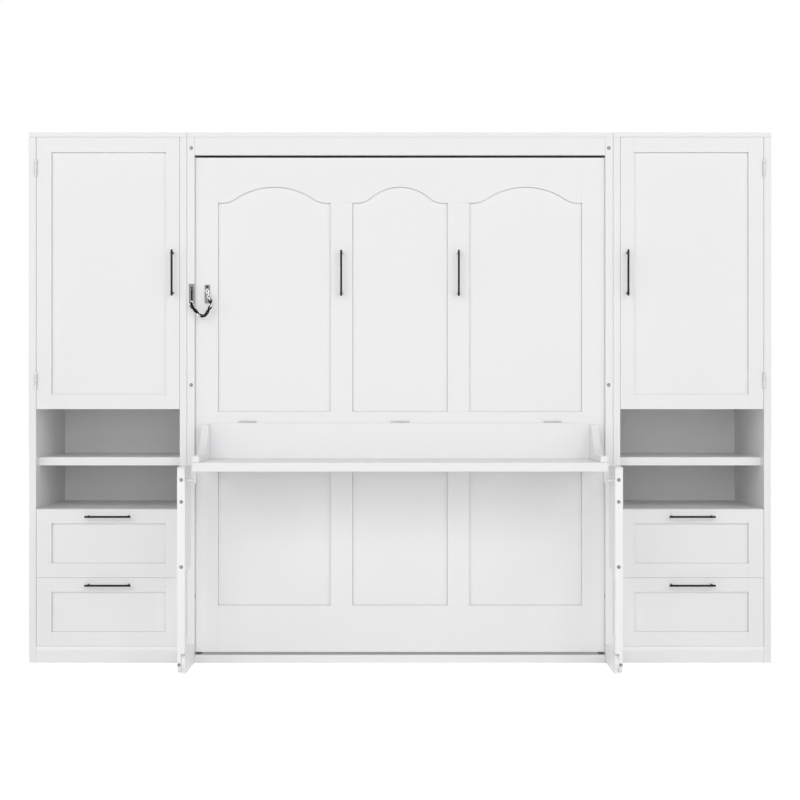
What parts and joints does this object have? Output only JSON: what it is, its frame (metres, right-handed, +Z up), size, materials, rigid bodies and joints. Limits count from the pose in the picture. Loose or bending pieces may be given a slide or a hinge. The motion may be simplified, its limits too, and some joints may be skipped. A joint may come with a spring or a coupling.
{
  "type": "murphy wall bed",
  "caption": "Vertical fold-down wall bed with an arched panelled face, a desk that stays level as it folds, and a storage tower with cupboard, niches and drawers on each side.",
  "frame": {"origin": "on the floor, under the middle of the whole object's box, halfway between the desk's front edge and the wall", "axes": "+X to the right seen from the room, +Y towards the wall, +Z up"},
  "size_m": [2.97, 0.974, 2.122],
  "materials": {
    "white_board": "fibreboard and solid wood sprayed in satin white",
    "slat_wood": "planed pine, unfinished",
    "black_bar_pull": "satin black powder coat",
    "black_steel": "matt black powder coat",
    "strut_tube": "gloss black enamel on steel tube",
    "strut_rod": "hard-chromed and polished",
    "hinge_steel": "zinc-plated steel",
    "chain_steel": "bright nickel-plated steel"
  },
  "bodies": {
    "cabinet": {"bay_side_left": "white_board", "bay_side_right": "white_board", "bay_top": "white_board", "fascia": "white_board", "base_rail": "white_board", "bay_back": "white_board", "wall_rail": "white_board", "desk_foot_left": "white_board", "desk_foot_right": "white_board", "chain_track": "chain_steel", "tower_outer_side_left": "white_board", "tower_inner_side_left": "white_board", "tower_top_left": "white_board", "tower_back_left": "white_board", "tower_deck_left": "white_board", "niche_floor_left": "white_board", "tower_base_left": "white_board", "niche_shelf_left": "white_board", "cabinet_shelf_left": "white_board", "door_hinge_upper_left": "hinge_steel", "door_hinge_lower_left": "hinge_steel", "tower_outer_side_right": "white_board", "tower_inner_side_right": "white_board", "tower_top_right": "white_board", "tower_back_right": "white_board", "tower_deck_right": "white_board", "niche_floor_right": "white_board", "tower_base_right": "white_board", "niche_shelf_right": "white_board", "cabinet_shelf_right": "white_board", "door_hinge_upper_right": "hinge_steel", "door_hinge_lower_right": "hinge_steel"},
    "bed": {"bed_face": "white_board", "bed_frame": "black_steel", "slat_deck": "slat_wood", "bed_handle_left": "black_bar_pull", "bed_handle_right": "black_bar_pull", "safety_chain": "chain_steel"},
    "desk": {"desk_top": "white_board", "desk_gallery": "white_board"},
    "desk_leg_left": {"desk_leg_left": "white_board"},
    "strut_barrel_left": {"strut_barrel_left": "strut_tube"},
    "strut_rod_left": {"strut_rod_left": "strut_rod"},
    "support_leg_left": {"support_leg_left": "black_steel"},
    "door_left": {"door_left": "white_board", "door_handle_left": "black_bar_pull"},
    "drawer_upper_left": {"drawer_upper_left": "white_board", "drawer_handle_upper_left": "black_bar_pull"},
    "drawer_lower_left": {"drawer_lower_left": "white_board", "drawer_handle_lower_left": "black_bar_pull"},
    "desk_leg_right": {"desk_leg_right": "white_board"},
    "strut_barrel_right": {"strut_barrel_right": "strut_tube"},
    "strut_rod_right": {"strut_rod_right": "strut_rod"},
    "support_leg_right": {"support_leg_right": "black_steel"},
    "door_right": {"door_right": "white_board", "door_handle_right": "black_bar_pull"},
    "drawer_upper_right": {"drawer_upper_right": "white_board", "drawer_handle_upper_right": "black_bar_pull"},
    "drawer_lower_right": {"drawer_lower_right": "white_board", "drawer_handle_lower_right": "black_bar_pull"}
  },
  "joints": [
    {"name": "bed_fold", "type": "hinge", "parent": "cabinet", "child": "bed", "pos_m": [0, -0.079, 0.265], "axis": [1, 0, 0], "range_deg": [0, 90]},
    {"name": "desk_level", "type": "hinge", "parent": "bed", "child": "desk", "pos_m": [0, -0.0975, 0.965], "axis": [1, 0, 0], "range_deg": [-90, 0]},
    {"name": "desk_leg_swing_left", "type": "hinge", "parent": "cabinet", "child": "desk_leg_left", "pos_m": [-0.837, -0.3825, 0.044], "axis": [1, 0, 0], "range_deg": [0, 90]},
    {"name": "strut_tilt_left", "type": "hinge", "parent": "cabinet", "child": "strut_barrel_left", "pos_m": [-0.762, 0.012, 0.736], "axis": [1, 0, 0], "range_deg": [0, 10.16]},
    {"name": "strut_stroke_left", "type": "slide", "parent": "strut_barrel_left", "child": "strut_rod_left", "axis": [0, 0, 1], "range_m": [0, 0.2442]},
    {"name": "support_leg_swing_left", "type": "hinge", "parent": "bed", "child": "support_leg_left", "pos_m": [-0.68, -0.0376, 2.028], "axis": [0, 0, -1], "range_deg": [0, 90]},
    {"name": "door_swing_left", "type": "hinge", "parent": "cabinet", "child": "door_left", "pos_m": [-1.45525, -0.118, 1.559], "axis": [0, 0, -1], "range_deg": [0, 110]},
    {"name": "drawer_slide_upper_left", "type": "slide", "parent": "cabinet", "child": "drawer_upper_left", "axis": [0, -1, 0], "range_m": [0, 0.4]},
    {"name": "drawer_slide_lower_left", "type": "slide", "parent": "cabinet", "child": "drawer_lower_left", "axis": [0, -1, 0], "range_m": [0, 0.4]},
    {"name": "desk_leg_swing_right", "type": "hinge", "parent": "cabinet", "child": "desk_leg_right", "pos_m": [0.837, -0.3825, 0.044], "axis": [1, 0, 0], "range_deg": [0, 90]},
    {"name": "strut_tilt_right", "type": "hinge", "parent": "cabinet", "child": "strut_barrel_right", "pos_m": [0.762, 0.012, 0.736], "axis": [1, 0, 0], "range_deg": [0, 10.16]},
    {"name": "strut_stroke_right", "type": "slide", "parent": "strut_barrel_right", "child": "strut_rod_right", "axis": [0, 0, 1], "range_m": [0, 0.2442]},
    {"name": "support_leg_swing_right", "type": "hinge", "parent": "bed", "child": "support_leg_right", "pos_m": [0.68, -0.0376, 2.028], "axis": [0, 0, 1], "range_deg": [0, 90]},
    {"name": "door_swing_right", "type": "hinge", "parent": "cabinet", "child": "door_right", "pos_m": [1.45525, -0.118, 1.559], "axis": [0, 0, 1], "range_deg": [0, 110]},
    {"name": "drawer_slide_upper_right", "type": "slide", "parent": "cabinet", "child": "drawer_upper_right", "axis": [0, -1, 0], "range_m": [0, 0.4]},
    {"name": "drawer_slide_lower_right", "type": "slide", "parent": "cabinet", "child": "drawer_lower_right", "axis": [0, -1, 0], "range_m": [0, 0.4]}
  ],
  "couplings": [
    {"joint": "desk_level", "follows": "bed_fold", "ratio": -1},
    {"joint": "desk_leg_swing_left", "follows": "bed_fold", "ratio": 1},
    {"joint": "strut_tilt_left", "follows": "bed_fold", "ratio": 0.11273},
    {"joint": "strut_stroke_left", "follows": "bed_fold", "m_per_rad": 0.15531},
    {"joint": "desk_leg_swing_right", "follows": "bed_fold", "ratio": 1},
    {"joint": "strut_tilt_right", "follows": "bed_fold", "ratio": 0.11273},
    {"joint": "strut_stroke_right", "follows": "bed_fold", "m_per_rad": 0.15531}
  ]
}
